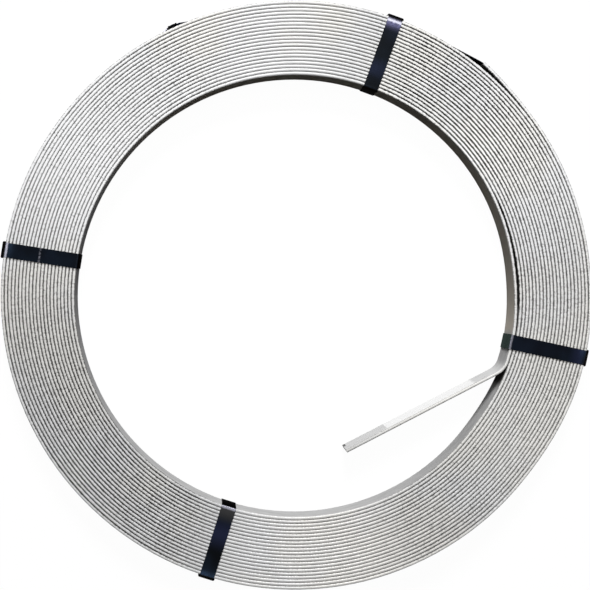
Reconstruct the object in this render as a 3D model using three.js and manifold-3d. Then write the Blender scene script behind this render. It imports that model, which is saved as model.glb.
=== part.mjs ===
import * as THREE from 'three';
import { mergeVertices } from 'three/addons/utils/BufferGeometryUtils.js';
import Module from 'manifold-3d';

// A coil of galvanised flat strip, lying on its end, held by four cross straps and one
// girth strap. Millimetres and degrees, angles counter-clockwise from +X, +Z up along
// the coil's axis, z = 0 at the underside of the cross straps.

// Flat strip
const stripWidth = 30;
const stripThickness = 3.5;
const edgeRadius = 1.4;

// Winding, counter-clockwise from the inner end outwards
const boreRadius = 238;
const turnGap = 0.3;
const wholeTurns = 21;
const facesPerTurn = 48;
const innerEndAngle = -17.4;
const outerEndAngle = 51;
const slowClimbAngle = 95;
const jogAngle = 22.5;
const jogShare = 0.7;

// Slack that builds up turn by turn on the side where the outer end springs off
const swell = 0.6;
const swellFrom = 5;
const swellFull = 60;
const swellEnd = 120;

// Sag of the bore out of round, fading towards the outer turns
const sag = 1.4;
const sagFrom = 140;
const sagFull = 220;
const sagHold = 312;
const sagEnd = 342;
const sagOuterShare = 0.4;

// Crest of every turn where it passes over the root of the tail
const crest = 1.6;
const crestAngle = -11;
const crestReachAngle = 13;
const crestOuterShare = 0.65;

// Innermost lap, sprung away from the turn outside it near the tail
const looseGap = 1.3;
const looseMiddleAngle = 3;
const looseReachAngle = 15;
const looseRunAngle = 60;

// Inner tail, bent in across the bore
const tailBendRadius = 21.8;
const tailBendAngle = 45.4;
const tailBendFaces = 6;
const tailLength = 183.5;
const tailLean = 1;
const leanFadeAngle = 30;

// Outer tip, springing off the turn under it
const tipLift = 3;
const tipLiftAngle = 15;

// Steel strapping
const strapWidth = 16;
const strapThickness = 0.6;
const strapClearance = 0.3;
const strapSideRoom = 0.3;
const strapBoreCorner = 1.6;
const strapOuterCorner = 2;
const strapCornerFaces = 3;
const crossStrapAngles = { a: 70.25, b: 171.1, c: 252.35, d: 347.8 };
const crossStrapLap = 23;

// Girth strap's hump over its seal
const girthSealAngle = 114.6;
const girthSealHeight = 3;
const sealEndRoom = 1;
const girthRunUpLength = 17;
const girthRunDownLength = 7;

// Crimped seals
const sealLength = 22;
const girthSealLength = 10;
const girthSealLip = 0.4;
const sealThickness = 0.9;
const sealClearance = 0.3;
const crimpDepth = 1.4;
const crimpWidth = 3.2;
const cutMargin = 0.5;

const galvanised = new THREE.MeshStandardMaterial({ color: 0xc6c9cb, roughness: 0.45, metalness: 0.85 });
const lacqueredSteel = new THREE.MeshStandardMaterial({ color: 0x1d242d, roughness: 0.35, metalness: 0.4 });
const sealSteel = new THREE.MeshStandardMaterial({ color: 0x2a3038, roughness: 0.4, metalness: 0.6 });

const pitch = stripThickness + turnGap;
const faceAngle = 360 / facesPerTurn;
const coilBottom = strapThickness + strapClearance;
const coilTop = coilBottom + stripWidth;
const windingRadius = boreRadius + pitch * wholeTurns;

const wasm = await Module();
wasm.setup();

// ---- Winding ----

function direction(degrees) {
  const angle = THREE.MathUtils.degToRad(degrees);
  return new THREE.Vector2(Math.cos(angle), Math.sin(angle));
}

// Share of a bump left at an angle away from its middle.
function bumpShare(degrees, middle, reach) {
  const away = THREE.MathUtils.euclideanModulo(degrees - middle + 180, 360) - 180;
  return Math.exp(-((away / reach) ** 2));
}

// Radius of the inner face of the strip at a station. A station is one facet step along
// the winding, counted from the inner end. Each turn keeps its radius for most of the
// way round, then jogs outwards where it passes over the inner end.
function windRadius(station) {
  const turn = Math.floor(station / facesPerTurn);
  const past = (station - turn * facesPerTurn) * faceAngle;
  const slow = (1 - jogShare) * THREE.MathUtils.smoothstep(past, 0, slowClimbAngle);
  const jog = jogShare * THREE.MathUtils.smoothstep(past, 360 - jogAngle, 360);
  const angle = innerEndAngle + past;
  const slackness = THREE.MathUtils.smoothstep(angle, swellFrom, swellFull)
    * (1 - THREE.MathUtils.smoothstep(angle, swellFull, swellEnd));
  const outwards = station / (facesPerTurn * wholeTurns);
  const sagging = THREE.MathUtils.smoothstep(angle, sagFrom, sagFull)
    * (1 - THREE.MathUtils.smoothstep(angle, sagHold, sagEnd));
  const bulge = sag * sagging * (1 - (1 - sagOuterShare) * outwards);
  const cresting = bumpShare(angle, crestAngle, crestReachAngle);
  const rise = crest * cresting * (1 - (1 - crestOuterShare) * outwards);
  const even = boreRadius + pitch * (turn + slow + jog - (1 - jogShare));
  return even + swell * slackness * outwards + bulge + rise;
}

function stationAngle(station) {
  return innerEndAngle + station * faceAngle;
}

function windPoint(station, outwards = 0) {
  return direction(stationAngle(station)).multiplyScalar(windRadius(station) + outwards);
}

const lastStation = (wholeTurns * 360 + outerEndAngle - innerEndAngle) / faceAngle;
const liftStation = Math.floor(lastStation - tipLiftAngle / faceAngle);
const pressedStation = Math.ceil(looseRunAngle / faceAngle);

function looseness(station) {
  if (station >= pressedStation) return 0;
  return looseGap * bumpShare(stationAngle(station), looseMiddleAngle, looseReachAngle);
}

function leanAt(station) {
  return tailLean * (1 - THREE.MathUtils.smoothstep(station * faceAngle, 0, leanFadeAngle));
}

function tipRise(station) {
  return tipLift * Math.max((station - lastStation) * faceAngle / tipLiftAngle + 1, 0) ** 2;
}

// A section of the strip: the two points where its faces meet the floor plan, and how far
// its lower edge leans in. A pressed turn shares its outer point with the turn wound over it.
function woundSection(station) {
  const pressed = station >= pressedStation && station + facesPerTurn <= liftStation;
  const stand = tipRise(station) - looseness(station);
  const inner = windPoint(station, stand);
  const outer = pressed
    ? windPoint(station + facesPerTurn)
    : windPoint(station, stand + stripThickness);
  return { inner, outer, lean: leanAt(station) };
}

function tailSection(middle, normal) {
  const half = normal.clone().multiplyScalar(stripThickness / 2);
  return { inner: middle.clone().sub(half), outer: middle.clone().add(half), lean: tailLean };
}

// The tail leaves the inner end on a clockwise bend and runs straight to its sawn end.
function tailSections() {
  const startMiddle = windPoint(0, stripThickness / 2 - looseness(0));
  const bendCentre = startMiddle.clone().sub(direction(innerEndAngle).multiplyScalar(tailBendRadius));
  const sections = [];
  for (let i = tailBendFaces; i > 0; i -= 1) {
    const normal = direction(innerEndAngle - (tailBendAngle * i) / tailBendFaces);
    const middle = normal.clone().multiplyScalar(tailBendRadius).add(bendCentre);
    sections.push(tailSection(middle, normal));
  }
  const normal = direction(innerEndAngle - tailBendAngle);
  const along = direction(innerEndAngle - tailBendAngle - 90).multiplyScalar(tailLength);
  const bendEnd = normal.clone().multiplyScalar(tailBendRadius).add(bendCentre);
  sections.unshift(tailSection(bendEnd.add(along), normal));
  return sections;
}

const tail = tailSections();
const wound = [];
for (let station = 0; station < lastStation; station += 1) {
  wound.push(woundSection(station));
}
const tip = woundSection(lastStation);

// Eight corners of the strip's section, its edges chamfered for the rolled rounding.
function sectionLoop({ inner, outer, lean }) {
  const middle = inner.clone().add(outer).multiplyScalar(0.5);
  const outwards = outer.clone().sub(inner).normalize();
  const across = outwards.clone().multiplyScalar(stripThickness / 2 - edgeRadius);
  const outerShoulder = middle.clone().add(across);
  const innerShoulder = middle.clone().sub(across);
  const at = (point, z) => {
    const back = (lean * (z - coilTop)) / stripWidth;
    return new THREE.Vector3(point.x + outwards.x * back, point.y + outwards.y * back, z);
  };
  return [
    at(outer, coilBottom + edgeRadius),
    at(outer, coilTop - edgeRadius),
    at(outerShoulder, coilTop),
    at(innerShoulder, coilTop),
    at(inner, coilTop - edgeRadius),
    at(inner, coilBottom + edgeRadius),
    at(innerShoulder, coilBottom),
    at(outerShoulder, coilBottom),
  ];
}

// The whole winding as one solid: pressed turns meet in a groove on each end face, and
// the loose lap, the tail and the tip keep both their walls.
function windingGeometry() {
  const loops = [...tail, ...wound, tip].map(sectionLoop);
  const positions = [];
  const triangle = (...corners) => corners.forEach((corner) => positions.push(...corner.toArray()));
  const outerWall = 0;
  const innerWall = 4;
  const isPressed = (station) => station >= pressedStation && station + facesPerTurn < liftStation;
  for (let i = 0; i + 1 < loops.length; i += 1) {
    const station = i - tail.length;
    for (let side = 0; side < 8; side += 1) {
      if (side === outerWall && isPressed(station)) continue;
      if (side === innerWall && isPressed(station - facesPerTurn)) continue;
      const next = (side + 1) % 8;
      triangle(loops[i][side], loops[i + 1][side], loops[i + 1][next]);
      triangle(loops[i][side], loops[i + 1][next], loops[i][next]);
    }
  }
  const first = loops[0];
  const last = loops[loops.length - 1];
  for (let side = 1; side < 7; side += 1) {
    triangle(first[0], first[side], first[side + 1]);
    triangle(last[0], last[side + 1], last[side]);
  }
  const geometry = new THREE.BufferGeometry();
  geometry.setAttribute('position', new THREE.Float32BufferAttribute(positions, 3));
  return finish(geometry);
}

function finish(geometry) {
  geometry.deleteAttribute('normal');
  geometry.deleteAttribute('uv');
  const merged = mergeVertices(geometry, 1e-4);
  merged.computeVertexNormals();
  return merged;
}

// ---- Straps ----

const outerSections = [...wound.slice(-facesPerTurn - 1), tip];
const outerWallPoints = outerSections.map((section) => section.outer);
const boreSections = [...tail.slice(1), ...wound.slice(0, facesPerTurn + 1)];
const boreWallPoints = boreSections.map(({ inner, outer, lean }) => {
  const outwards = outer.clone().sub(inner).normalize();
  return inner.clone().sub(outwards.multiplyScalar(lean));
});

// How far a wall reaches along a direction, within a strap's width: the nearest point of
// the bore wall or the furthest point of the outer wall.
function wallReach(points, degrees, width, pick) {
  const along = direction(degrees);
  const across = direction(degrees + 90);
  const steps = 16;
  let reach = null;
  for (let i = 0; i + 1 < points.length; i += 1) {
    for (let step = 0; step <= steps; step += 1) {
      const point = points[i].clone().lerp(points[i + 1], step / steps);
      if (point.dot(along) < 0 || Math.abs(point.dot(across)) > width / 2 + strapSideRoom) continue;
      reach = reach === null ? point.dot(along) : pick(reach, point.dot(along));
    }
  }
  return reach;
}

// A taut strap round the coil follows the convex outline of its outer wall.
function convexOutline(points) {
  const sorted = [...points].sort((p, q) => p.x - q.x || p.y - q.y);
  const turnOf = (o, p, q) => (p.x - o.x) * (q.y - o.y) - (p.y - o.y) * (q.x - o.x);
  const chain = (list) => {
    const kept = [];
    for (const point of list) {
      while (kept.length > 1 && turnOf(kept[kept.length - 2], kept[kept.length - 1], point) <= 1e-6) {
        kept.pop();
      }
      kept.push(point);
    }
    return kept.slice(0, -1);
  };
  return [...chain(sorted), ...chain(sorted.reverse())];
}

function angleOf(point) {
  return THREE.MathUtils.euclideanModulo(THREE.MathUtils.radToDeg(point.angle()), 360);
}

// Where a ray from the axis crosses a closed outline.
function outlineAt(outline, degrees) {
  const ray = direction(degrees);
  for (let i = 0; i < outline.length; i += 1) {
    const p = outline[i];
    const edge = outline[(i + 1) % outline.length].clone().sub(p);
    const share = p.cross(ray) / ray.cross(edge);
    const point = p.clone().add(edge.multiplyScalar(share));
    if (share >= 0 && share <= 1 && point.dot(ray) > 0) return point;
  }
  return null;
}

function offsetLoop(loop, distance) {
  return loop.map((point, i) => {
    const before = loop[(i + loop.length - 1) % loop.length];
    const after = loop[(i + 1) % loop.length];
    const into = point.clone().sub(before).normalize();
    const away = after.clone().sub(point).normalize();
    const bisector = new THREE.Vector2(into.y + away.y, -into.x - away.x);
    return point.clone().add(bisector.multiplyScalar((2 * distance) / bisector.lengthSq()));
  });
}

function degreesOver(length) {
  return THREE.MathUtils.radToDeg(length / windingRadius);
}

const halfSeal = degreesOver(girthSealLength / 2 + sealEndRoom);
const humpStart = girthSealAngle - halfSeal - degreesOver(girthRunUpLength);
const humpEnd = girthSealAngle + halfSeal + degreesOver(girthRunDownLength);
const lapStart = girthSealAngle - halfSeal - degreesOver(girthRunDownLength);

// The girth strap's path, touching the wall outside the hump and raised over the seal.
function girthPath() {
  const outline = convexOutline(outerWallPoints);
  const raised = [humpStart, lapStart, girthSealAngle - halfSeal, girthSealAngle + halfSeal, humpEnd];
  const rises = [0, 0.6, 1, 1, 0].map((share) => share * girthSealHeight);
  const hump = raised.map((angle, i) => {
    const rise = direction(angle).multiplyScalar(rises[i]);
    return outlineAt(outline, angle).add(rise);
  });
  const kept = outline.filter((point) => angleOf(point) < humpStart || angleOf(point) > humpEnd);
  return [...kept, ...hump].sort((p, q) => angleOf(p) - angleOf(q));
}

function extrudeUp(outline, hole, bottom, height) {
  const shape = new THREE.Shape(outline);
  if (hole) shape.holes.push(new THREE.Path(hole));
  const geometry = new THREE.ExtrudeGeometry(shape, { depth: height, bevelEnabled: false });
  return finish(geometry.translate(0, 0, bottom));
}

const girthInner = offsetLoop(girthPath(), strapClearance);
const girthBottom = coilBottom + (stripWidth - strapWidth) / 2;

// The strap's end lies doubled on itself from the lap's start to the foot of the hump.
function girthStrapGeometry() {
  const single = offsetLoop(girthInner, strapThickness);
  const double = offsetLoop(girthInner, 2 * strapThickness);
  const outline = [];
  const slack = 0.01;
  girthInner.forEach((point, i) => {
    const angle = angleOf(point);
    const isStart = Math.abs(angle - lapStart) < slack;
    const isEnd = Math.abs(angle - humpEnd) < slack;
    if (isStart) outline.push(single[i]);
    outline.push(isStart || (angle > lapStart && angle < humpEnd - slack) ? double[i] : single[i]);
    if (isEnd) outline.splice(outline.length - 1, 0, double[i]);
  });
  return extrudeUp(outline, girthInner, girthBottom, strapWidth);
}

function roundedRectangle(left, bottom, right, top, leftRadius, rightRadius) {
  const corners = [
    [right - rightRadius, bottom + rightRadius, rightRadius, -90],
    [right - rightRadius, top - rightRadius, rightRadius, 0],
    [left + leftRadius, top - leftRadius, leftRadius, 90],
    [left + leftRadius, bottom + leftRadius, leftRadius, 180],
  ];
  return corners.flatMap(([x, y, radius, start]) => {
    const arc = [];
    const centre = new THREE.Vector2(x, y);
    for (let i = 0; i <= strapCornerFaces; i += 1) {
      arc.push(direction(start + (90 * i) / strapCornerFaces).multiplyScalar(radius).add(centre));
    }
    return arc;
  });
}

function crossStrapSpan(degrees) {
  const nearest = wallReach(boreWallPoints, degrees, strapWidth, Math.min);
  const wall = wallReach(outerWallPoints, degrees, strapWidth, Math.max);
  const girthOuter = offsetLoop(girthInner, strapThickness);
  const girth = wallReach([...girthOuter, girthOuter[0]], degrees, strapWidth, Math.max);
  return { from: nearest - strapClearance, to: Math.max(wall, girth) + strapClearance };
}

// One cross strap: a closed band through the bore and over both ends, its own end
// doubled on the outer leg under the seal. Drawn in the plane through the axis.
function crossStrapGeometry({ from, to }) {
  const bottom = coilBottom - strapClearance;
  const top = coilTop + strapClearance;
  const hole = roundedRectangle(from, bottom, to, top, strapBoreCorner, strapOuterCorner);
  const outline = roundedRectangle(
    from - strapThickness,
    bottom - strapThickness,
    to + strapThickness,
    top + strapThickness,
    strapBoreCorner + strapThickness,
    strapOuterCorner + strapThickness,
  );
  const middle = (bottom + top) / 2;
  const lapOuter = to + 2 * strapThickness;
  outline.splice(
    strapCornerFaces + 1,
    0,
    new THREE.Vector2(to + strapThickness, middle - crossStrapLap / 2),
    new THREE.Vector2(lapOuter, middle - crossStrapLap / 2),
    new THREE.Vector2(lapOuter, middle + crossStrapLap / 2),
    new THREE.Vector2(to + strapThickness, middle + crossStrapLap / 2),
  );
  const geometry = extrudeUp(outline, hole, -strapWidth / 2, strapWidth);
  return geometry.rotateX(Math.PI / 2);
}

// ---- Seals ----

function toManifold(geometry) {
  const merged = finish(geometry);
  const vertProperties = new Float32Array(merged.attributes.position.array);
  const triVerts = new Uint32Array(merged.index.array);
  return new wasm.Manifold(new wasm.Mesh({ numProp: 3, vertProperties, triVerts }));
}

function fromManifold(solid) {
  const mesh = solid.getMesh();
  const geometry = new THREE.BufferGeometry();
  geometry.setAttribute('position', new THREE.Float32BufferAttribute(mesh.vertProperties, 3));
  geometry.setIndex(new THREE.Uint32BufferAttribute(mesh.triVerts, 1));
  geometry.computeVertexNormals();
  return geometry;
}

// A seal lies along X, its strap's inner face at z = 0: a plate over the doubled strap
// with a lip down each side, crimped by two pairs of notches.
function sealGeometry(length, lipDepth) {
  const half = strapWidth / 2 + sealClearance;
  const under = 2 * strapThickness + sealClearance;
  const section = [
    [-half - sealThickness, -lipDepth],
    [-half, -lipDepth],
    [-half, under],
    [half, under],
    [half, -lipDepth],
    [half + sealThickness, -lipDepth],
    [half + sealThickness, under + sealThickness],
    [-half - sealThickness, under + sealThickness],
  ].map(([x, y]) => new THREE.Vector2(x, y));
  const channel = extrudeUp(section, null, -length / 2, length);
  let solid = toManifold(channel.rotateX(Math.PI / 2).rotateZ(Math.PI / 2));
  for (const end of [-1, 1]) {
    for (const side of [-1, 1]) {
      const edge = side * (half + sealThickness + cutMargin);
      const tipOfNotch = side * (half + sealThickness - crimpDepth);
      const wedge = [
        new THREE.Vector2((end * length) / 4 - crimpWidth / 2, edge),
        new THREE.Vector2((end * length) / 4 + crimpWidth / 2, edge),
        new THREE.Vector2((end * length) / 4, tipOfNotch),
      ];
      if (side > 0) wedge.reverse();
      const notch = extrudeUp(wedge, null, under + sealThickness - crimpDepth, crimpDepth + cutMargin);
      solid = solid.subtract(toManifold(notch));
    }
  }
  return fromManifold(solid);
}

// ---- Assembly ----

const coil = new THREE.Group();
coil.name = 'steel_coil';

function addPiece(name, geometry, material) {
  const mesh = new THREE.Mesh(geometry, material);
  mesh.name = name;
  coil.add(mesh);
  return mesh;
}

addPiece('steel_strip', windingGeometry(), galvanised);
addPiece('girth_strap', girthStrapGeometry(), lacqueredSteel);

for (const [letter, angle] of Object.entries(crossStrapAngles)) {
  const span = crossStrapSpan(angle);
  const strap = addPiece(`cross_strap_${letter}`, crossStrapGeometry(span), lacqueredSteel);
  strap.rotation.z = THREE.MathUtils.degToRad(angle);

  const seal = addPiece(`cross_strap_seal_${letter}`, sealGeometry(sealLength, 0), sealSteel);
  const seat = direction(angle).multiplyScalar(span.to);
  seal.position.set(seat.x, seat.y, coilBottom + stripWidth / 2);
  seal.rotation.set(0, Math.PI / 2, 0);
  seal.rotation.order = 'ZYX';
  seal.rotation.z = THREE.MathUtils.degToRad(angle);
}

const girthSeal = addPiece('girth_strap_seal', sealGeometry(girthSealLength, girthSealLip), sealSteel);
const sealEnd = outlineAt(girthInner, girthSealAngle - halfSeal);
const sealStart = outlineAt(girthInner, girthSealAngle + halfSeal);
const sealRun = sealEnd.clone().sub(sealStart);
const sealSeat = sealEnd.clone().add(sealStart).multiplyScalar(0.5);
girthSeal.position.set(sealSeat.x, sealSeat.y, coilBottom + stripWidth / 2);
girthSeal.rotation.order = 'ZYX';
girthSeal.rotation.set(-Math.PI / 2, 0, sealRun.angle());

export default coil;
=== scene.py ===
import bpy
import bmesh
import math
from types import SimpleNamespace
from mathutils import Matrix, Vector, noise
from mathutils.geometry import convex_hull_2d


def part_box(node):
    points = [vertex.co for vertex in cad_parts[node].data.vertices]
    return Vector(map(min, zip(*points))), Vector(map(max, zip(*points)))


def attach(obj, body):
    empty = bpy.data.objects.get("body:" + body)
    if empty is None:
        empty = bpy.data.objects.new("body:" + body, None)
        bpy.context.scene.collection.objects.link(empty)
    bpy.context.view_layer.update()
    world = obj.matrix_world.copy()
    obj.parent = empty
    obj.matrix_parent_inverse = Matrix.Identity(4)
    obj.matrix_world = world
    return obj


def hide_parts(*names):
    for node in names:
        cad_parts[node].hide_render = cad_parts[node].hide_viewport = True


# A coil of galvanised flat strip bound by four cross straps and a girth strap.
# Lengths are metres, and angles are degrees unless a note says radians.
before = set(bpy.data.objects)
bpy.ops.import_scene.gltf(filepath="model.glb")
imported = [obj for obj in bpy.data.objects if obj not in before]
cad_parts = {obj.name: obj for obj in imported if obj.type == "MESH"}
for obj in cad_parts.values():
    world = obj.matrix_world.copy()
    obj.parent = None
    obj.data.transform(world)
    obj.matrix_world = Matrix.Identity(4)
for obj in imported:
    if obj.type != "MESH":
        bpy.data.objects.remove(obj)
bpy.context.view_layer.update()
up = Vector((0, 0, 1))


camera = {
    "place": (-0.0938, 0.0141, 1.130),
    "tilt": (-0.242, -0.875),  # about X and Y
    "lens": 62.29,
    "sensor": 36,
    "shift": (0.1189, -0.0141),
    "clip": (0.01, 100),
}


def makeCamera(settings):
    data = bpy.data.cameras.new("camera")
    data.lens = settings["lens"]
    data.sensor_width = settings["sensor"]
    data.shift_x, data.shift_y = settings["shift"]
    data.clip_start, data.clip_end = settings["clip"]
    eye = bpy.data.objects.new("camera", data)
    eye.location = settings["place"]
    eye.rotation_euler = (*(math.radians(angle) for angle in settings["tilt"]), 0)
    bpy.context.collection.objects.link(eye)
    bpy.context.scene.camera = eye


makeCamera(camera)
print("camera placed")


# one output socket; arithmetic and comparisons on it add Math nodes
class Wire:
    def __init__(self, finish, socket):
        self.finish = finish
        self.socket = socket

    def math(self, operation, *values):
        return self.finish.node("Math", {"operation": operation}, dict(enumerate(values)))

    def __add__(self, other):
        return self.math("ADD", self, other)

    def __radd__(self, other):
        return self.math("ADD", other, self)

    def __sub__(self, other):
        return self.math("SUBTRACT", self, other)

    def __rsub__(self, other):
        return self.math("SUBTRACT", other, self)

    def __mul__(self, other):
        return self.math("MULTIPLY", self, other)

    def __rmul__(self, other):
        return self.math("MULTIPLY", other, self)

    def __truediv__(self, other):
        return self.math("DIVIDE", self, other)

    def __abs__(self):
        return self.math("ABSOLUTE", self)

    def __gt__(self, edge):
        return self.math("GREATER_THAN", self, edge)

    def __lt__(self, edge):
        return self.math("LESS_THAN", self, edge)

    def atLeast(self, floor):
        return self.math("MAXIMUM", self, floor)

    def sine(self):
        return self.math("SINE", self)

    def cosine(self):
        return self.math("COSINE", self)


# the node tree of a material or of the world
class Finish:
    def __init__(self, owner):
        self.owner = owner
        owner.use_nodes = True
        self.tree = owner.node_tree
        self.tree.nodes.clear()

    # adds any node: its settings first, then the values or links of its sockets
    def node(self, kind, settings=None, inputs=None, output=0):
        made = self.tree.nodes.new("ShaderNode" + kind)
        for key, value in (settings or {}).items():
            setattr(made, key, value)
        for key, value in (inputs or {}).items():
            if isinstance(value, Wire):
                self.tree.links.new(value.socket, made.inputs[key])
            else:
                made.inputs[key].default_value = value
        return Wire(self, made.outputs[output]) if made.outputs else None

    def part(self, vector, index):
        return self.node("SeparateXYZ", {}, {0: vector}, output=index)

    # radians round the coil, counter-clockwise from +X
    def angleOf(self, place):
        return self.node("Math", {"operation": "ARCTAN2"}, {0: self.part(place, 1), 1: self.part(place, 0)})

    # a share that grows from toLow to toHigh while a value goes from low to high
    def ranged(self, value, low, high, toLow=0.0, toHigh=1.0):
        return self.node("MapRange", {"interpolation_type": "SMOOTHSTEP"},
                         {0: value, 1: low, 2: high, 3: toLow, 4: toHigh})

    # 1 at a middle value, 0 further off than the reach
    def near(self, value, middle, reach):
        return self.ranged(abs(value - middle), 0.0, reach, 1.0, 0.0)

    # the same for several places added up, each times its share
    def nearAny(self, value, places):
        return sum(self.near(value, middle, reach) * share for middle, reach, share in places)

    # colours are 4-tuples or wires
    def mixed(self, amount, first, second, blend="MIX"):
        return self.node("Mix", {"data_type": "RGBA", "blend_type": blend},
                         {0: amount, 6: first, 7: second}, output=2)

    def noise(self, where, scale, detail, roughness, stretch=(1, 1, 1)):
        mapped = self.node("Mapping", {}, {"Vector": where, "Scale": stretch})
        return self.node("TexNoise", {}, {"Vector": mapped, "Scale": scale, "Detail": detail,
                                          "Roughness": roughness})

    def bumped(self, height, strength, distance):
        return self.node("Bump", {}, {"Height": height, "Strength": strength, "Distance": distance})

    # 1 for what the camera sees itself, in a reflection or through something
    def seen(self):
        direct = self.node("LightPath", output="Is Camera Ray")
        reflected = self.node("LightPath", output="Is Glossy Ray")
        through = self.node("LightPath", output="Is Transmission Ray")
        return direct.atLeast(reflected).atLeast(through)

    def shaded(self, shader):
        self.node("OutputMaterial", {}, {"Surface": shader})
        return self.owner


def newFinish(name):
    return Finish(bpy.data.materials.new(name))


def smoothstep(value):
    value = min(max(value, 0.0), 1.0)
    return value * value * (3 - 2 * value)


def heading(degrees):
    angle = math.radians(degrees)
    return Vector((math.cos(angle), math.sin(angle), 0))


def pathLength(path):
    return sum(math.dist(before, after) for before, after in zip(path, path[1:]))


def finishPiece(name, shape):
    mesh = bpy.data.meshes.new(name)
    shape.to_mesh(mesh)
    shape.free()
    piece = bpy.data.objects.new(name, mesh)
    bpy.context.collection.objects.link(piece)
    return piece


# A straight bar with rounded corners, one step long for each step of a path. Local X is
# its thickness, Y its width, and Z counts the steps.
def straightBar(steps, width, thickness, rounding, segments):
    bar = bmesh.new()
    bmesh.ops.create_grid(bar, x_segments=1, y_segments=1, size=0.5)
    bmesh.ops.scale(bar, vec=(thickness, width, 1), verts=bar.verts)
    bmesh.ops.bevel(bar, geom=bar.verts[:], affect="VERTICES", offset=rounding,
                    segments=segments, profile=0.5, material=-1)
    grown = bmesh.ops.extrude_face_region(bar, geom=bar.faces[:])["geom"]
    bmesh.ops.translate(bar, vec=(0, 0, steps),
                        verts=[part for part in grown if isinstance(part, bmesh.types.BMVert)])
    longEdges = [edge for edge in bar.edges if abs(edge.verts[0].co.z - edge.verts[1].co.z) > 0.5]
    bmesh.ops.subdivide_edges(bar, edges=longEdges, cuts=steps - 1, use_grid_fill=True)
    bmesh.ops.recalc_face_normals(bar, faces=bar.faces)
    return bar


# UV maps of a straight bar: "strip" runs along and across it, "section" is the place in its
# section, and "folds" holds how far a point lies past the first fold and before the second
def mapBar(bar, path, folds):
    travelled = [0.0]
    for before, after in zip(path, path[1:]):
        travelled.append(travelled[-1] + (after - before).length)
    stripMap = bar.loops.layers.uv.new("strip")
    sectionMap = bar.loops.layers.uv.new("section")
    foldMap = bar.loops.layers.uv.new("folds") if folds else None
    for face in bar.faces:
        for corner in face.loops:
            local = corner.vert.co
            along = travelled[round(local.z)]
            corner[stripMap].uv = (along, local.y + local.x)
            corner[sectionMap].uv = (local.x, local.y)
            if folds:
                corner[foldMap].uv = (along - folds[0], folds[1] - along)


# lays a bar along a path; squeeze moves a point of its section
def bentBar(name, path, acrossAxis, width, thickness, rounding, segments=1, squeeze=None, folds=None):
    steps = len(path) - 1
    bar = straightBar(steps, width, thickness, rounding, segments)
    mapBar(bar, path, folds)
    # the wide faces stay flat across, so their borders are sharp
    wideFaces = {face for face in bar.faces
                 if all(abs(abs(vert.co.x) - thickness / 2) < 1e-7 for vert in face.verts)}
    wideBorders = [edge for edge in bar.edges
                   if sum(face in wideFaces for face in edge.link_faces) == 1]
    outwards = []
    for step in range(steps + 1):
        tangent = path[min(step + 1, steps)] - path[max(step - 1, 0)]
        outwards.append(tangent.normalized().cross(acrossAxis).normalized())
    for vert in bar.verts:
        step = round(vert.co.z)
        x, y = vert.co.x, vert.co.y
        if squeeze:
            x, y = squeeze(step, x, y)
        vert.co = path[step] + outwards[step] * x + acrossAxis * y
    for face in bar.faces:
        face.smooth = len(face.verts) == 4
    for edge in wideBorders:
        edge.smooth = False
    return finishPiece(name, bar)


winding = {
    "width": 0.030,
    "thickness": 0.0035,
    "edgeRounding": 0.0014,
    "roundingSegments": 3,
    "bottom": 0.0009,  # clear of the straps' lower legs
    "boreRadius": 0.238,
    "pitch": 0.0038,
    "wholeTurns": 21,
    "innerEnd": -17.4,
    "outerEnd": 51,
    "slowClimb": 95,
    "jog": 22.5,
    "jogShare": 0.7,
    "swell": 0.0006,  # slack on the side where the outer end springs off
    "swellFrom": 5,
    "swellFull": 60,
    "swellEnd": 120,
    "sag": 0.0014,  # the bore out of round, less at the outer turns
    "sagFrom": 140,
    "sagFull": 220,
    "sagHold": 312,
    "sagEnd": 342,
    "sagOuterShare": 0.4,
    "crest": 0.0016,  # every turn rises over the root of the tail
    "crestAt": -11,
    "crestReach": 13,
    "crestOuterShare": 0.65,
    "looseGap": 0.0013,  # the innermost lap off the second one
    "looseMiddle": 3,
    "looseReach": 15,
    "looseRun": 60,
    "stepsPerTurn": 144,
    "tailBendRadius": 0.0218,
    "tailBend": 45.4,
    "tailBendSteps": 24,
    "tailLength": 0.1835,
    "tailSteps": 12,
    "tailLean": 0.0010,
    "leanFade": 30,
    "tipLift": 0.0030,
    "tipLiftRun": 15,
    "radialWander": 0.00010,  # unevenness of the turns, and how fast it changes round the coil
    "radialWanderRound": 2.5,
    "radialWanderByTurn": 3.1,
    "edgeWander": 0.00045,
    "edgeWanderRound": 3,
    "edgeWanderByTurn": 5.7,
    "edgeWanderBySide": 40,
}


# degrees that the winding runs from its inner to its outer end
def wholeRun():
    w = winding
    return w["wholeTurns"] * 360 + w["outerEnd"] - w["innerEnd"]


# share of a hump left at an angle away from its middle
def humpShare(degrees, middle, reach):
    away = (degrees - middle + 180) % 360 - 180
    return math.exp(-(away / reach) ** 2)


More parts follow.
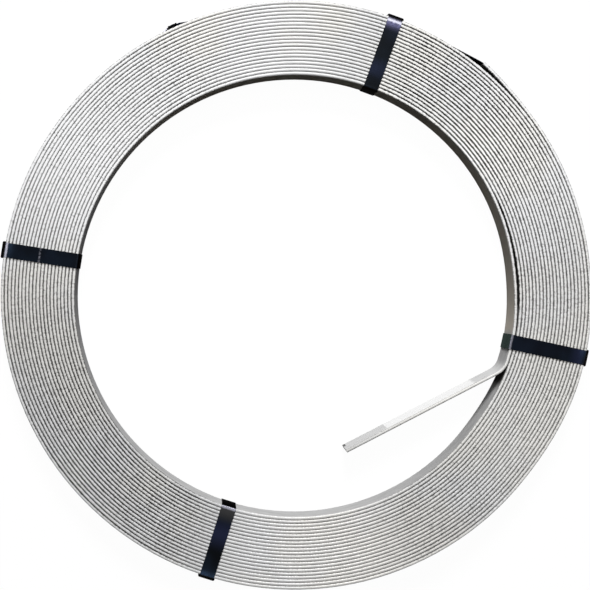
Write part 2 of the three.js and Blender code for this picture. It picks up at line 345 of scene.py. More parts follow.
# radius of the strip's inner face, a run of degrees after its inner end
def windRadius(run):
    w = winding
    turn, past = divmod(run, 360)
    slow = (1 - w["jogShare"]) * smoothstep(past / w["slowClimb"])
    jog = w["jogShare"] * smoothstep((past - 360 + w["jog"]) / w["jog"])
    angle = w["innerEnd"] + past
    slackness = smoothstep((angle - w["swellFrom"]) / (w["swellFull"] - w["swellFrom"]))
    slackness *= 1 - smoothstep((angle - w["swellFull"]) / (w["swellEnd"] - w["swellFull"]))
    outwards = run / (360 * w["wholeTurns"])
    sagging = smoothstep((angle - w["sagFrom"]) / (w["sagFull"] - w["sagFrom"]))
    sagging *= 1 - smoothstep((angle - w["sagHold"]) / (w["sagEnd"] - w["sagHold"]))
    bulge = w["sag"] * sagging * (1 - (1 - w["sagOuterShare"]) * outwards)
    rise = w["crest"] * humpShare(angle, w["crestAt"], w["crestReach"])
    rise *= 1 - (1 - w["crestOuterShare"]) * outwards
    wound = w["boreRadius"] + w["pitch"] * (turn + slow + jog - (1 - w["jogShare"]))
    return wound + w["swell"] * slackness * outwards + bulge + rise


def stripMiddle(run):
    w = winding
    loose = 0
    if run < w["looseRun"]:
        loose = w["looseGap"] * humpShare(w["innerEnd"] + run, w["looseMiddle"], w["looseReach"])
    lift = w["tipLift"] * max((run - wholeRun()) / w["tipLiftRun"] + 1, 0) ** 2
    radius = windRadius(run) + w["thickness"] / 2 - loose + lift
    ray = heading(w["innerEnd"] + run)
    turn = run / 360
    inside = smoothstep(turn) * smoothstep(w["wholeTurns"] - turn)
    wander = noise.noise(ray * w["radialWanderRound"] + up * turn * w["radialWanderByTurn"])
    return ray * (radius + w["radialWander"] * inside * wander)


# how far the strip's lower edge leans in towards the bore
def leanAt(turn):
    return winding["tailLean"] * (1 - smoothstep(turn * 360 / winding["leanFade"]))


# the strip's middle line, as the tail with its bend and then the winding
def stripPath():
    w = winding
    count = round(wholeRun() / 360 * w["stepsPerTurn"])
    wound = [stripMiddle(wholeRun() * step / count) for step in range(count + 1)]
    bendCentre = wound[0] - heading(w["innerEnd"]) * w["tailBendRadius"]
    bend = []
    for step in range(w["tailBendSteps"], 0, -1):
        angle = w["innerEnd"] - w["tailBend"] * step / w["tailBendSteps"]
        bend.append(bendCentre + heading(angle) * w["tailBendRadius"])
    along = heading(w["innerEnd"] - w["tailBend"] - 90)
    straight = [bend[0] + along * w["tailLength"] * step / w["tailSteps"]
                for step in range(w["tailSteps"], 0, -1)]
    return straight + bend, wound


def makeStrip():
    w = winding
    tail, wound = stripPath()
    middleHeight = up * (w["bottom"] + w["width"] / 2)
    path = [point + middleHeight for point in tail + wound]

    # each turn's two edges stand a little back, by a different amount round the coil
    def setBack(step, x, y):
        turn = max(step - len(tail), 0) / w["stepsPerTurn"]
        ray = path[step].normalized() * w["edgeWanderRound"]
        side = 1 if y > 0 else -1
        wander = noise.noise(ray + up * (turn * w["edgeWanderByTurn"] + side * w["edgeWanderBySide"]))
        back = w["edgeWander"] * min(max(0.5 + wander, 0), 1)
        return x + leanAt(turn) * (y / w["width"] - 0.5), y - side * back

    strip = bentBar("steelStrip", path, up, w["width"], w["thickness"], w["edgeRounding"],
                    segments=w["roundingSegments"], squeeze=setBack)
    return strip, wound, pathLength(path)


strip, wound, stripLength = makeStrip()
print("strip wound:", len(strip.data.polygons), "faces")


strapping = {
    "width": 0.016,
    "thickness": 0.0006,
    "clearance": 0.0003,
    "rounding": 0.00012,
    "boreCorner": 0.0016,
    "outerCorner": 0.0020,
    "cornerSteps": 8,
    "shoulder": 0.0009,  # how far the top leg drops over its last stretch
    "shoulderRun": 0.014,
    "shoulderSteps": 8,
    "crossAngles": {"a": 70.25, "b": 171.1, "c": 252.35, "d": 347.8},
    "lap": 0.023,
    "lapStep": 0.0012,
    "layerGap": 0.00004,
    "longestStep": 0.004,
}


def furthestReach(node, degrees):
    ray = heading(degrees)
    return max(vertex.co.dot(ray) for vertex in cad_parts[node].data.vertices)


# how near the bore's wall comes to the axis under a cross strap
def boreReach(degrees):
    ray, across = heading(degrees), heading(degrees + 90)
    feet = [point.dot(ray) - leanAt(step / winding["stepsPerTurn"]) for step, point in enumerate(wound)
            if point.dot(ray) > 0 and abs(point.dot(across)) < strapping["width"] / 2]
    return min(feet) - winding["thickness"] / 2


# corner arc of a path drawn as (reach, height)
def cornerArc(middle, radius, start, sweep):
    steps = strapping["cornerSteps"]
    reach, height = middle
    angles = [math.radians(start + sweep * step / steps) for step in range(steps + 1)]
    return [(reach + radius * math.cos(angle), height + radius * math.sin(angle)) for angle in angles]


# points no further apart than a given step along a path
def resampled(points, longest):
    fine = [points[0]]
    for before, after in zip(points, points[1:]):
        count = max(1, math.ceil((after - before).length / longest))
        fine += [before.lerp(after, step / count) for step in range(1, count + 1)]
    return fine


# A strap from its lap on the outer wall down, in under the coil, up the bore, over the top
# and down to the lap again. It comes back with how far out the underside of its lap lies.
def makeCrossStrap(letter, degrees):
    s = strapping
    half = s["thickness"] / 2
    bore = boreReach(degrees) - s["clearance"] - half
    outer = furthestReach(f"cross_strap_{letter}", degrees) - 3 * half  # two layers end there
    lapped = outer + s["thickness"] + s["layerGap"]
    bottom, top = half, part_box(f"cross_strap_{letter}")[1].z - half
    lapLow, lapHigh = (bottom + top - s["lap"]) / 2, (bottom + top + s["lap"]) / 2
    boreBend, outerBend = s["boreCorner"] + half, s["outerCorner"] + half
    route = [(outer, lapHigh)]
    route += cornerArc((outer - outerBend, bottom + outerBend), outerBend, 0, -90)
    route += cornerArc((bore + boreBend, bottom + boreBend), boreBend, -90, -90)
    route += cornerArc((bore + boreBend, top - boreBend), boreBend, 180, -90)
    innerFold = pathLength(route)
    shoulderStart = outer - outerBend - s["shoulderRun"]
    for step in range(s["shoulderSteps"]):
        share = step / s["shoulderSteps"]
        route.append((shoulderStart + s["shoulderRun"] * share, top - s["shoulder"] * share ** 2))
    outerFold = pathLength(route)
    slope = math.degrees(math.atan(2 * s["shoulder"] / s["shoulderRun"]))
    bendHeight = top - s["shoulder"] - outerBend
    route += cornerArc((outer - outerBend, bendHeight), outerBend, 90 - slope, slope - 90)
    route += [(outer, lapHigh + s["lapStep"]), (lapped, lapHigh), (lapped, lapLow)]
    ray = heading(degrees)
    path = resampled([ray * reach + up * height for reach, height in route], s["longestStep"])
    strap = bentBar(f"crossStrap_{letter}", path, heading(degrees + 90), s["width"], s["thickness"],
                    s["rounding"], folds=(innerFold, outerFold))
    return strap, outer - half


crossStraps = {}
strapSeats = {}
for letter, degrees in strapping["crossAngles"].items():
    crossStraps[letter], strapSeats[letter] = makeCrossStrap(letter, degrees)
print("cross straps folded")


girth = {
    "clearance": 0.00006,
    "sealAngle": 114.6,
    "sealHeight": 0.0023,
    "sealLength": 0.010,
    "sealRoom": 0.001,  # past each end of the seal
    "runUp": 0.017,
    "runDown": 0.007,
    "stepAngle": 1.25,
}


# the girth strap lies on the taut outline of the outer wall
def tautOutline():
    w = winding
    lastTurn = wound[-w["stepsPerTurn"] - 2:]
    outer = []
    for before, after in zip(lastTurn, lastTurn[1:]):
        outward = (after - before).normalized().cross(up) * w["thickness"] / 2
        outer += [before + outward, after + outward]
    flat = [point.to_2d() for point in outer]
    return [flat[index].to_3d() for index in convex_hull_2d(flat)]


def outlineAt(outline, degrees):
    ray = heading(degrees)
    for start, end in zip(outline, outline[1:] + outline[:1]):
        edge = end - start
        share = start.cross(ray).z / ray.cross(edge).z
        point = start + edge * share
        if 0 <= share <= 1 and point.dot(ray) > 0:
            return point
    return None


def degreesOver(length):
    return math.degrees(length / (winding["boreRadius"] + winding["pitch"] * winding["wholeTurns"]))


# The strap starts just before its seal, goes once round and runs over its own start until
# just past the seal. It comes back with the two points that carry the seal's ends.
def makeGirthStrap():
    s, g = strapping, girth
    outline = tautOutline()
    halfSeal = degreesOver(g["sealLength"] / 2 + g["sealRoom"])
    sealStart, sealEnd = g["sealAngle"] - halfSeal, g["sealAngle"] + halfSeal
    humpStart, humpEnd = sealStart - degreesOver(g["runUp"]), sealEnd + degreesOver(g["runDown"])
    lapStart = sealStart - degreesOver(g["runDown"])
    lapStep = degreesOver(s["lapStep"])
    low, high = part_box("girth_strap")
    height = up * (low.z + high.z) / 2

    def rise(angle):
        if angle < sealStart:
            return g["sealHeight"] * smoothstep((angle - humpStart) / (sealStart - humpStart))
        return g["sealHeight"] * smoothstep((humpEnd - angle) / (humpEnd - sealEnd))

    travel = 360 + humpEnd - lapStart
    count = round(travel / g["stepAngle"])
    path = []
    for step in range(count + 1):
        turned = travel * step / count
        angle = (lapStart + turned) % 360
        layer = smoothstep((turned - 360 + lapStep) / lapStep)
        stand = g["clearance"] + s["thickness"] * (0.5 + layer) + s["layerGap"] * layer
        stand += rise(angle) if humpStart < angle < humpEnd else 0
        path.append(outlineAt(outline, angle) + heading(angle) * stand + height)
    seatStand = g["clearance"] + g["sealHeight"]
    seats = [outlineAt(outline, angle) + heading(angle) * seatStand + height
             for angle in (sealStart, sealEnd)]
    return bentBar("girthStrap", path, up, s["width"], s["thickness"], s["rounding"]), seats


girthStrap, girthSeats = makeGirthStrap()
print("girth strap laid")


seals = {
    "crossLength": 0.022,
    "crossLip": 0,
    "girthLip": 0.0004,
    "thickness": 0.0009,
    "clearance": 0.0003,
    "fold": 0.0006,
    "crimpDepth": 0.0013,
    "crimpWidth": 0.0032,
    "crimpPlace": 0.25,  # share of the length, from the middle
    "crimpFrom": 0.55,  # share of the half width where a crimp starts
    "facesAlong": 40,
    "facesAcross": 36,
    "rimAngle": 1.0,  # radians
    "rimBevel": 0.00008,
    "smoothAngle": 0.6,  # radians
}


# a sheet folded down both sides of the doubled strap and pinched by two pairs of crimps;
# local X runs along the strap, Y across it, and Z out of the coil from the strap's seat
def makeSeal(name, length, lip, seat, along, outward):
    s, k = strapping, seals
    half = s["width"] / 2 + k["clearance"]
    rise = 2 * s["thickness"] + s["layerGap"] + k["clearance"]
    fold = k["fold"]
    curl = fold * math.pi / 2
    reach = half - fold + curl + rise + lip - fold
    sheet = bmesh.new()
    bmesh.ops.create_grid(sheet, x_segments=k["facesAlong"], y_segments=k["facesAcross"], size=0.5)
    bmesh.ops.scale(sheet, vec=(length, 2 * reach, 1), verts=sheet.verts)
    for vert in sheet.verts:
        side = 1 if vert.co.y > 0 else -1
        over = abs(vert.co.y) - (half - fold)
        turned = min(max(over, 0), curl) / fold
        y = min(abs(vert.co.y), half - fold) + fold * math.sin(turned)
        z = rise - fold * (1 - math.cos(turned)) - max(over - curl, 0)
        crimp = max(1 - abs(abs(vert.co.x) - length * k["crimpPlace"]) / (k["crimpWidth"] / 2), 0)
        crimp *= k["crimpDepth"] * smoothstep((y / half - k["crimpFrom"]) / (1 - k["crimpFrom"]))
        vert.co = (vert.co.x, side * (y - crimp), z)
    bmesh.ops.recalc_face_normals(sheet, faces=sheet.faces)
    # the wall grows against the normals, so they point into the coil first
    if sum(face.normal.z for face in sheet.faces) > 0:
        bmesh.ops.reverse_faces(sheet, faces=sheet.faces)
    bmesh.ops.solidify(sheet, geom=sheet.faces[:], thickness=k["thickness"])
    bmesh.ops.recalc_face_normals(sheet, faces=sheet.faces)
    rim = [edge for edge in sheet.edges if edge.calc_face_angle(0) > k["rimAngle"]]
    bmesh.ops.bevel(sheet, geom=rim, affect="EDGES", offset=k["rimBevel"],
                    segments=1, profile=0.5, material=-1)
    turn = Matrix((along, outward.cross(along), outward)).transposed().to_4x4()
    bmesh.ops.transform(sheet, matrix=Matrix.Translation(seat) @ turn, verts=sheet.verts)
    for face in sheet.faces:
        face.smooth = True
    for edge in sheet.edges:
        edge.smooth = edge.calc_face_angle(0) < k["smoothAngle"]
    return finishPiece(name, sheet)


def makeSeals():
    made = {}
    middle = up * (winding["bottom"] + winding["width"] / 2)
    for letter, degrees in strapping["crossAngles"].items():
        seat = heading(degrees) * strapSeats[letter] + middle
        made[f"cross_strap_seal_{letter}"] = makeSeal(
            f"crossSeal_{letter}", seals["crossLength"], seals["crossLip"], seat, up, heading(degrees))
    start, end = girthSeats
    along = (end - start).normalized()
    made["girth_strap_seal"] = makeSeal(
        "girthSeal", girth["sealLength"], seals["girthLip"], (start + end) / 2, along, along.cross(up))
    return made


crimpedSeals = makeSeals()
print("seals crimped")


# a dark finish stays as dark at its rims as on its face
darkRims = {"Specular IOR Level": 0.0, "Specular Tint": (0.05, 0.05, 0.05, 1)}

steelLook = {
    # tones of the strip's two edges, which make the end faces of the coil
    "edge": (0.80, 0.80, 0.79, 1),
    "edgeBright": (0.90, 0.90, 0.89, 1),
    "edgeShade": (0.86, 0.86, 0.86, 1),
    "edgeTopBottomShade": (0.85, 0.85, 0.85, 1),
    "edgeHighlight": (0.99, 0.99, 0.98, 1),
    "warmTint": (1.0, 0.988, 0.968, 1),
    "coolTint": (0.982, 0.984, 1.0, 1),
    # painted shade in the creases between the turns
    "groove": (0.030, 0.029, 0.027, 1),
    # tones of its wide faces
    "face": (0.62, 0.62, 0.62, 1),
    "faceBright": (0.72, 0.72, 0.72, 1),
    # painted warm light and painted shade on the bore wall
    "faceWarmLight": (0.95, 0.87, 0.76, 1),
    "faceShade": (0.50, 0.50, 0.50, 1),
    "shadeAndSpecks": (0.06, 0.058, 0.055, 1),  # painted shade where they lie between the laps, in the tail root's shadow and on the cut end; also the tone of dark specks
    # shinier metal for the painted reflection on the tail's face and for the last lap's outer face
    "shinyMetal": (0.90, 0.90, 0.90, 1),
    # noises: scale, detail, roughness and stretch
    "grain": (900, 3, 0.6, (0.25, 1, 1)),
    "mottle": (45, 3, 0.6, (1, 3, 1)),
    "serration": (640, 1, 0.5, (1, 0.25, 1)),
    "laps": (1.7, 1, 0.5, (1, 0, 1)),
    "tint": (9, 2, 0.5),
    "specks": (330, 2, 0.6, (1, 0.6, 1)),
    # bands over which a share grows or fades: of a noise
    "grainBand": (0.2, 0.8),
    "mottleBand": (0.3, 0.7),
    "serrationBand": (0.3, 0.7),
    "tintBand": (0.4, 0.6),
    "speckBand": (0.57, 0.64),
    # of the sine of the angle round the coil, which two of them turn by some radians first
    "softBand": (0.88, 1.0),  # the top and the bottom
    "dimTurn": 0.35,
    "dimBand": (-0.7, 0.0),  # painted shade on the lower half
    "warmTurn": 0.6,
    "warmBand": (-0.2, 0.5),  # painted warm light on the right and the top of the bore wall
    "shadeBand": (0.35, 0.95),  # painted shade on the top of the bore wall
    # of a distance from the middle of the strip's width, and of its thickness
    "edgeBand": (0.0132, 0.0140),
    "grooveBand": (0.00085, 0.00150),
    "faceFrom": 0.0017,
    # places round the coil in radians: middle, reach and, where several add up, share
    "coolPlace": (2.45, 0.9),
    "gapPlace": (0.20, 0.42),  # where the first lap is loose
    # painted highlights: where the grooves are paler, the edges lighter and the creases lighter
    "grooveHighlightStreaks": ((0.35, 0.30, 0.6), (2.60, 0.55, 0.8), (-1.55, 0.55, 1.6), (-0.63, 0.25, 0.6)),
    "highlightStreaks": ((2.60, 0.60, 1.0), (0.55, 0.60, 1.0), (-1.60, 0.40, 0.14)),
    "highlightCreases": ((-1.55, 0.90, 1.0), (1.57, 0.30, 0.8), (2.60, 0.30, 0.5)),
    # places of more painted shade on the bore wall
    "wallShades": ((-0.75, 0.7, 0.35), (2.90, 0.45, 0.6)),
    "warmStart": (-0.20, -0.14),  # a band, just above the tail
    # lengths along the strip from the tail's cut end
    "gapInnerEnd": 0.40,
    "gapOuterRun": (1.70, 1.93),
    # painted shadow of the tail's root on the bore wall
    "rootBand": (1.674, 1.690),
    "firstLapEnd": 1.71,
    "pastTail": 0.012,  # from the end of the tail's straight
    "lastLap": 1.99,  # back from the outer end
    # painted shade in the grooves between the turns
    "grooveDepth": 0.74,
    "grooveSwing": 0.18,  # darker on two opposite sides of the coil
    "swingAngle": 1.01,  # radians
    "grooveSoftness": 0.56,  # paler and narrower at the top and bottom of the coil
    "grooveThinning": 0.00022,
    "coolThinning": 0.6,
    "streakGain": 0.26,
    "lapSwing": 0.75,
    "serrationDepth": 0.0009,
    "gapFade": (0.0, 0.5),
    "gapDepth": 1.1,
    "gapWidening": 0.0003,
    "lastLapDepth": 0.8,
    "tailDepth": 0.14,
    "tailOuterDepth": 0.66,
    # tone and gloss
    "coolShift": 0.25,
    "speckShare": 0.4,
    "grainBump": (0.2, 0.0003),  # strength and distance
    "metallic": 0.01,
    "edgeMetallic": 0.17,
    "roughness": (0.42, 0.52),
    "shinyRoughness": (0.26, 0.38),
    # painted shade on the lower half of the tail's cut end
    "cutLength": 0.0028,
    "cutBand": (-0.0035, -0.0010),
    "cutRaggedness": 0.004,
    "cutShare": 0.7,
    # a painted reflection on the tail's face: shinier metal, brightest along its middle
    "brightFrom": 0.0505,
    "brightEnd": (0.1555, 0.1600),
    "shinyEnd": (0.176, 0.204),
    "shinyShare": 0.34,
    "brightShare": 0.58,
    "lastLapShare": 0.5,
}


# wires that say where a point of the strip lies
def stripPlaces(f):
    look = steelLook
    at = SimpleNamespace()
    at.uv = f.node("UVMap", {"uv_map": "strip"})
    at.place = f.node("TexCoord", output="Object")
    section = f.node("UVMap", {"uv_map": "section"})
    at.along = f.part(at.uv, 0)
    at.through, at.across = f.part(section, 0), f.part(section, 1)  # through is over 0 on the outer side
    at.angle = f.angleOf(at.place)
    at.grain = f.noise(at.uv, *look["grain"])
    at.mottle = f.noise(at.uv, *look["mottle"])
    at.soft = f.ranged(abs(at.angle.sine()), *look["softBand"])
    at.cool = f.near(at.angle, *look["coolPlace"])
    at.edge = f.ranged(abs(at.across), *look["edgeBand"])
    at.isTail = at.along < winding["tailLength"] + look["pastTail"]
    at.onBoreWall = (at.through < 0) * (at.along < look["firstLapEnd"])
    at.onLastLap = (at.along > stripLength - look["lastLap"]) * (at.through > 0)
    ragged = at.across + (at.grain - 0.5) * look["cutRaggedness"]
    at.cutEnd = (at.along < look["cutLength"]) * f.ranged(ragged, *look["cutBand"], 1.0, 0.0)
    return at


# the crease between two turns and the painted shade in it, darkest beside the loose lap's gap
def stripGrooveShade(f, at):
    look = steelLook
    gapStart, gapEnd = look["gapOuterRun"]
    firstLap = (at.along < look["gapInnerEnd"]) * (at.through > 0)
    secondLap = (at.along > gapStart) * (at.along < gapEnd) * (at.through < 0)
    besideGap = (firstLap + secondLap) * f.ranged(f.near(at.angle, *look["gapPlace"]), *look["gapFade"])
    serration = f.ranged(f.noise(at.uv, *look["serration"]), *look["serrationBand"])
    widening = (serration - 0.5) * look["serrationDepth"] + besideGap * look["gapWidening"]
    thinning = (at.soft + at.cool * look["coolThinning"]) * look["grooveThinning"]
    crease = f.ranged(abs(at.through) + widening - thinning, *look["grooveBand"])
    swing = ((at.angle - look["swingAngle"]) * 2).cosine()
    depth = look["grooveDepth"] + swing * look["grooveSwing"] - at.soft * look["grooveSoftness"]
    # grooves paler in the painted highlight streaks
    depth = depth - f.nearAny(at.angle, look["grooveHighlightStreaks"]) * look["streakGain"]
    depth = depth + (f.noise(at.uv, *look["laps"]) - 0.5) * look["lapSwing"]
    depth = depth.atLeast(at.onLastLap * look["lastLapDepth"]).atLeast(besideGap * look["gapDepth"])
    tailDepth = look["tailDepth"] + (at.through > 0) * look["tailOuterDepth"]
    depth = depth * (1 - at.isTail) + at.isTail * tailDepth
    groove = f.node("Math", {"operation": "MULTIPLY", "use_clamp": True}, {0: crease * at.edge, 1: depth})
    return crease, groove


def edgeColour(f, at):
    look = steelLook
    crease, groove = stripGrooveShade(f, at)
    tone = f.mixed(f.ranged(at.mottle, *look["mottleBand"]), look["edge"], look["edgeBright"])
    # painted shade: the edges darker on the lower half of the coil, and on the tail
    dim = f.ranged((at.angle + look["dimTurn"]).sine(), *look["dimBand"], 1.0, 0.0)
    tone = f.mixed(dim, tone, look["edgeShade"], "MULTIPLY")
    # painted shade: the edges greyer at the top and the bottom of the coil
    tone = f.mixed(at.soft, tone, look["edgeTopBottomShade"], "MULTIPLY")
    # painted highlights: lighter streaks across the edges and lighter creases
    tone = f.mixed(f.nearAny(at.angle, look["highlightStreaks"]), tone, look["edgeHighlight"])
    highlightCreases = f.nearAny(at.angle, look["highlightCreases"]) * crease * (1 - at.isTail)
    tone = f.mixed(highlightCreases, tone, look["edgeHighlight"])
    tone = f.mixed(at.isTail, tone, look["edgeShade"], "MULTIPLY")
    warmth = f.ranged(f.noise(at.place, *look["tint"]) - at.cool * look["coolShift"], *look["tintBand"])
    tone = f.mixed(1.0, tone, f.mixed(warmth, look["coolTint"], look["warmTint"]), "MULTIPLY")
    specks = f.ranged(f.noise(at.uv, *look["specks"]), *look["speckBand"]) * (1 - at.soft) * (1 - at.isTail)
    tone = f.mixed(specks * look["speckShare"], tone, look["shadeAndSpecks"])
    # painted shade in the creases
    return f.mixed(groove, tone, look["groove"])


# the bore side: painted warm light at the right, painted shade at the top, painted shade between the
# laps and the painted shadow of the tail's root
def faceColour(f, at):
    look = steelLook
    wallOnly = at.onBoreWall * (1 - at.isTail)
    warmLight = f.ranged((at.angle + look["warmTurn"]).sine(), *look["warmBand"]) * wallOnly
    warmLight = warmLight * f.ranged(at.angle, *look["warmStart"])
    shade = f.ranged(at.angle.sine(), *look["shadeBand"]) + f.nearAny(at.angle, look["wallShades"])
    bare = at.onBoreWall.atLeast(at.onLastLap).atLeast(at.isTail)
    tone = f.mixed(f.ranged(at.mottle, *look["mottleBand"]), look["face"], look["faceBright"])
    tone = f.mixed(warmLight, tone, look["faceWarmLight"])
    tone = f.mixed(shade * wallOnly, tone, look["faceShade"], "MULTIPLY")
    # painted shade on the faces between the laps, the tail root's painted shadow and painted shade on the
    # cut end
    tone = f.mixed(bare, look["shadeAndSpecks"], tone)
    tone = f.mixed(f.ranged(at.along, *look["rootBand"]) * at.onBoreWall, tone, look["shadeAndSpecks"])
    return f.mixed(at.cutEnd * look["cutShare"], tone, look["shadeAndSpecks"])


# share of shinier metal: a painted reflection on the tail's face, greyer towards its end and its
# bend, and the outer face of the last lap
def shinyShare(f, at):
    look = steelLook
    bright = (at.along > look["brightFrom"]) * (1 - f.ranged(at.along, *look["brightEnd"]))
    onTail = (at.along < look["shinyEnd"][1]) * (at.through < -look["faceFrom"]) * (1 - at.edge)
    onTail = onTail * (1 - at.cutEnd) * (1 - f.ranged(at.along, *look["shinyEnd"]))
    onOuterFace = at.onLastLap * (at.through > look["faceFrom"]) * (1 - at.edge)
    tailShare = onTail * (look["shinyShare"] + bright * look["brightShare"])
    return tailShare.atLeast(onOuterFace * look["lastLapShare"])


def galvanisedFinish():
    f = newFinish("galvanisedStrip")
    look = steelLook
    at = stripPlaces(f)
    normal = f.bumped(at.grain, *look["grainBump"])
    dull = f.node("BsdfPrincipled", {}, {
        **darkRims,
        "Base Color": f.mixed(at.edge, faceColour(f, at), edgeColour(f, at)),
        "Metallic": look["metallic"] + at.edge * look["edgeMetallic"],
        "Roughness": f.ranged(at.grain, *look["grainBand"], *look["roughness"]),
        "Normal": normal})
    shinyMetal = f.node("BsdfPrincipled", {}, {
        "Base Color": look["shinyMetal"],
        "Metallic": 1.0,
        "Roughness": f.ranged(at.mottle, *look["mottleBand"], *look["shinyRoughness"]),
        "Normal": normal})
    return f.shaded(f.node("MixShader", {}, {0: shinyShare(f, at), 1: dull, 2: shinyMetal}))


strapLook = {
    "dark": (0.0012, 0.0019, 0.0030, 1),
    "navy": (0.0034, 0.0062, 0.0118, 1),
    # painted sheen, a painted grey reflection and a painted violet highlight
    "sheen": (0.0090, 0.0120, 0.0310, 1),
    "greyReflection": (0.0330, 0.0330, 0.0340, 1),
    "violetHighlight": (0.0250, 0.0250, 0.0470, 1),
    # painted highlight on the folds, and the tone of a scuff and of the girth strap's lighter edge
    "highlightAndWear": (0.40, 0.40, 0.47, 1),
    "leg": (0.0040, 0.0037, 0.0037, 1),
    # painted green reflection on the bore leg at the right
    "legGreenReflection": (0.029, 0.041, 0.038, 1),
    # noises: scale, detail and roughness
    "cloud": (28, 2, 0.5),
    "patches": (11, 1, 0.5),
    "scratch": (420, 3, 0.7),
    "cloudBand": (0.35, 0.65),
    # patches of painted sheen
    "patchBand": (0.56, 0.72),
    "patchShare": 0.12,
    # painted shade on the strap at the top, painted sheen on the one at the left
    "topStrapShade": 0.8,
    "leftStrapSheen": 0.4,
    # which strap is meant: a band of the sine at the top and bottom, middle and reach in radians
    "topBand": (0.5, 0.8),
    "bottomBand": (0.6, 0.9),
    "leftPlace": (math.radians(171), 0.3),
    "rightPlace": (math.radians(-12), 0.3),
    # painted light on a strap, as sheen, highlight and reflection: which one, the fold it is measured from,
    # distance, reach, share and tone
    "paintedLights": (
        ("bottom", "outer", 0.046, 0.022, 1.0, "sheen"),
        ("top", "outer", 0.056, 0.016, 0.3, "sheen"),
        ("right", "outer", 0.008, 0.010, 0.6, "sheen"),
        ("top", "outer", 0.0030, 0.0110, 1.0, "violetHighlight"),
        ("bottom", "inner", 0.0020, 0.0170, 1.0, "greyReflection"),
    ),
    # painted highlight along a fold: the strap and its fold, distance, reach and share
    "foldHighlights": (
        ("top", "outer", 0.0008, 0.0026, 0.8),
        ("left", "outer", -0.0004, 0.0020, 0.45),
        ("bottom", "inner", -0.0002, 0.0022, 0.8),
        ("right", "inner", -0.0002, 0.0015, 0.5),
    ),
    "highlightRaggedness": 0.0014,
    "scuff": (0.036, 0.0016),
    "scuffBand": (0.45, 0.6),
    "scuffShare": 0.45,
    "topLegStart": -0.0016,  # before the inner and past the outer fold
    "topLegEnd": -0.0020,
    "greenTurn": 0.2,  # radians
    "greenBand": (0.8, 0.95),
    "bow": 0.42,  # slope that the strap has where it reaches a fold
    "outerBowRun": 0.012,
    "innerBowRun": 0.016,
    "cloudRelief": 0.0009,
    "scratchBand": (0.3, 0.7),
    "roughness": (0.24, 0.32),
    "coat": 0.08,
    "coatIor": 1.45,
    "coatRoughness": 0.24,
}


# height lost where the strap bows down over a run before a fold
def bowDrop(distance, run):
    bow = (1 - distance / run).atLeast(0.0)
    return bow * bow * (run / 2)


# shares that are 1 on the strap at the top, the bottom, the left or the right of the coil
def strapSides(f, angle):
    return {
        "top": f.ranged(angle.sine(), *strapLook["topBand"]),
        "bottom": f.ranged(angle.sine() * -1, *strapLook["bottomBand"]),
        "left": f.near(angle, *strapLook["leftPlace"]),
        "right": f.near(angle, *strapLook["rightPlace"]),
    }


def lacquerFinish():
    f = newFinish("strapLacquer")
    look = strapLook
    place = f.node("TexCoord", output="Object")
    angle = f.angleOf(place)
    sides = strapSides(f, angle)
    foldMap = f.node("UVMap", {"uv_map": "folds"})
    folds = {"inner": f.part(foldMap, 0), "outer": f.part(foldMap, 1)}
    cloud = f.noise(place, *look["cloud"])
    scratch = f.noise(place, *look["scratch"])
    # the strap at the top painted darker as shade, the one at the left bluer as sheen
    navy = f.ranged(cloud, *look["cloudBand"]) * (1 - sides["top"] * look["topStrapShade"])
    tone = f.mixed(navy + sides["left"] * look["leftStrapSheen"], look["dark"], look["navy"])
    # patches of painted sheen
    patches = f.ranged(f.noise(place, *look["patches"]), *look["patchBand"])
    tone = f.mixed(patches * look["patchShare"], tone, look["sheen"])
    # painted sheen, highlight and reflection near the folds
    for side, fold, distance, reach, share, glow in look["paintedLights"]:
        tone = f.mixed(f.near(folds[fold], distance, reach) * sides[side] * share, tone, look[glow])
    # painted highlights along the folds
    ragged = (scratch - 0.5) * look["highlightRaggedness"]
    highlightAndWear = sum(f.near(folds[fold] + ragged, distance, reach) * sides[side] * share
               for side, fold, distance, reach, share in look["foldHighlights"])
    tone = f.mixed(highlightAndWear, tone, look["highlightAndWear"])
    scuff = f.near(folds["outer"], *look["scuff"]) * f.ranged(scratch, *look["scuffBand"]) * sides["left"]
    tone = f.mixed(scuff * look["scuffShare"], tone, look["highlightAndWear"])
    # the legs in the bore and on the outer wall are plain, and the bore leg at the right has a painted
    # green reflection
    onTop = (folds["inner"] > look["topLegStart"]) * (folds["outer"] > look["topLegEnd"])
    greenReflection = f.ranged((angle + look["greenTurn"]).cosine(), *look["greenBand"]) * (folds["outer"] > 0)
    tone = f.mixed(onTop, f.mixed(greenReflection, look["leg"], look["legGreenReflection"]), tone)
    drop = bowDrop(folds["outer"], look["outerBowRun"]) + bowDrop(folds["inner"], look["innerBowRun"])
    relief = 1 - drop * look["bow"] + cloud * look["cloudRelief"]
    return f.shaded(f.node("BsdfPrincipled", {}, {
        **darkRims,
        "Base Color": tone,
        "Metallic": 1.0,
        "Roughness": f.ranged(scratch, *look["scratchBand"], *look["roughness"]),
        "Normal": f.bumped(relief, 1.0, 1.0),
        "Coat Weight": onTop * look["coat"],
        "Coat IOR": look["coatIor"],
        "Coat Roughness": look["coatRoughness"]}))


plainLook = {
    "girthDark": (0.002, 0.003, 0.006, 1),
    "girthLight": (0.006, 0.009, 0.018, 1),
    "sealDark": (0.0010, 0.0011, 0.0013, 1),
    "sealLight": (0.0040, 0.0042, 0.0050, 1),
    "cloud": (60, 3, 0.6),
    "cloudBand": (0.3, 0.7),
    "roughness": (0.26, 0.38),
    # the girth strap's upper edge lighter where it runs up to its seal
    "lighterPlace": (2.036, 0.018),  # radians
    "lighterFade": (0.0, 0.4),
    "lighterBand": (0.0050, 0.0062),  # up from the middle of the strap's width
    "outerFace": -0.0002,
    "ragged": (700, 2, 0.6),
    "raggedness": 0.006,
}


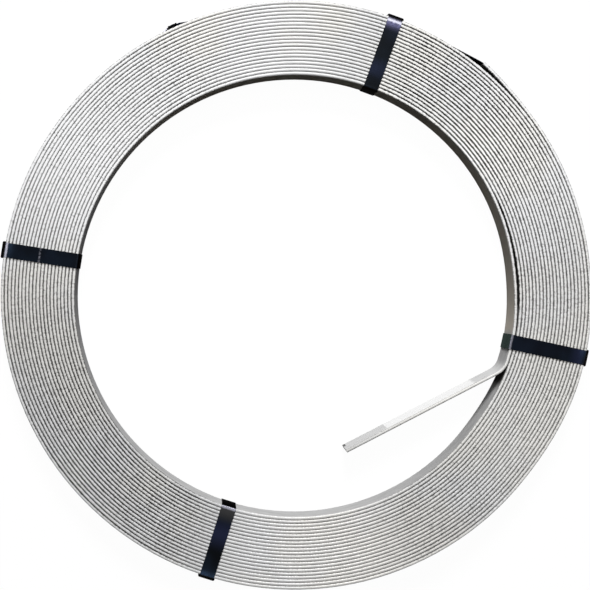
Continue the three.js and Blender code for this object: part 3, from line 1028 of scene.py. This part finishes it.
def lighterEdge(f, place):
    look = plainLook
    section = f.node("UVMap", {"uv_map": "section"})
    outside = f.part(section, 0) > look["outerFace"]
    ragged = (f.noise(place, *look["ragged"]) - 0.5) * look["raggedness"]
    upper = f.ranged(f.part(section, 1) + ragged, *look["lighterBand"])
    return f.ranged(f.near(f.angleOf(place), *look["lighterPlace"]), *look["lighterFade"]) * outside * upper


def plainLacquer(name, dark, light, highlightAndWear=False):
    f = newFinish(name)
    look = plainLook
    place = f.node("TexCoord", output="Object")
    cloud = f.noise(place, *look["cloud"])
    tone = f.mixed(f.ranged(cloud, *look["cloudBand"]), dark, light)
    if highlightAndWear:
        tone = f.mixed(lighterEdge(f, place), tone, strapLook["highlightAndWear"])
    return f.shaded(f.node("BsdfPrincipled", {}, {
        **darkRims,
        "Base Color": tone,
        "Metallic": 1.0,
        "Roughness": f.ranged(cloud, *look["cloudBand"], *look["roughness"])}))


def dress(piece, material, node):
    piece.data.materials.append(material)
    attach(piece, "root")
    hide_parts(node)


lacquer = lacquerFinish()
girthLacquer = plainLacquer("girthStrapLacquer", plainLook["girthDark"], plainLook["girthLight"], highlightAndWear=True)
sealSteel = plainLacquer("sealSteel", plainLook["sealDark"], plainLook["sealLight"])

dress(strip, galvanisedFinish(), "steel_strip")
for letter, strap in crossStraps.items():
    dress(strap, lacquer, f"cross_strap_{letter}")
dress(girthStrap, girthLacquer, "girth_strap")
for node, seal in crimpedSeals.items():
    dress(seal, sealSteel, node)
print("pieces dressed")


studio = {
    "floorSize": 30,
    "floorDrop": 0.0001,  # under the straps that lie on it
    "floorTone": (0.05, 0.05, 0.05, 1),
    "floorGlow": 0.97,
    "white": (1, 1, 1, 1),
    "world": 0.02,
    "lamps": {
        "key": {"place": (-0.14, 4.04, 2.94), "size": 1.7, "power": 200},
        "upper": {"place": (0.05, 0.50, 0.75), "size": 0.35, "power": 1.4},
        "top": {"place": (0.10, 0.16, 1.50), "size": 0.3, "power": 3.9},
    },
}


# dark under the lamps, so that little light comes back from it, and white to the camera
# and in reflections
def floorFinish():
    f = newFinish("paleFloor")
    matte = f.node("BsdfDiffuse", {}, {"Color": studio["floorTone"]})
    glow = f.node("Emission", {}, {"Color": studio["white"], "Strength": f.seen() * studio["floorGlow"]})
    return f.shaded(f.node("AddShader", {}, {0: matte, 1: glow}))


def makeFloor():
    shape = bmesh.new()
    bmesh.ops.create_grid(shape, x_segments=1, y_segments=1, size=studio["floorSize"])
    bmesh.ops.translate(shape, vec=(0, 0, -studio["floorDrop"]), verts=shape.verts)
    floor = finishPiece("floor", shape)
    floor.data.materials.append(floorFinish())


# white to the camera and in reflections, dim as a light
def makeWorld():
    world = bpy.data.worlds.new("studio")
    bpy.context.scene.world = world
    f = Finish(world)
    strength = f.node("MapRange", {}, {"Value": f.seen(), "To Min": studio["world"]})
    background = f.node("Background", {}, {"Color": studio["white"], "Strength": strength})
    f.node("OutputWorld", {}, {"Surface": background})


# a round lamp turned to the middle of the coil's underside
def areaLamp(name, place, size, power):
    data = bpy.data.lights.new(name, "AREA")
    data.shape = "DISK"
    data.size = size
    data.energy = power
    lamp = bpy.data.objects.new(name, data)
    lamp.location = place
    lamp.rotation_euler = (-Vector(place)).to_track_quat("-Z", "Y").to_euler()
    bpy.context.collection.objects.link(lamp)


makeFloor()
makeWorld()
for name, lamp in studio["lamps"].items():
    areaLamp(name, **lamp)
bpy.context.scene.view_settings.view_transform = "Standard"
print("floor and lamps placed")
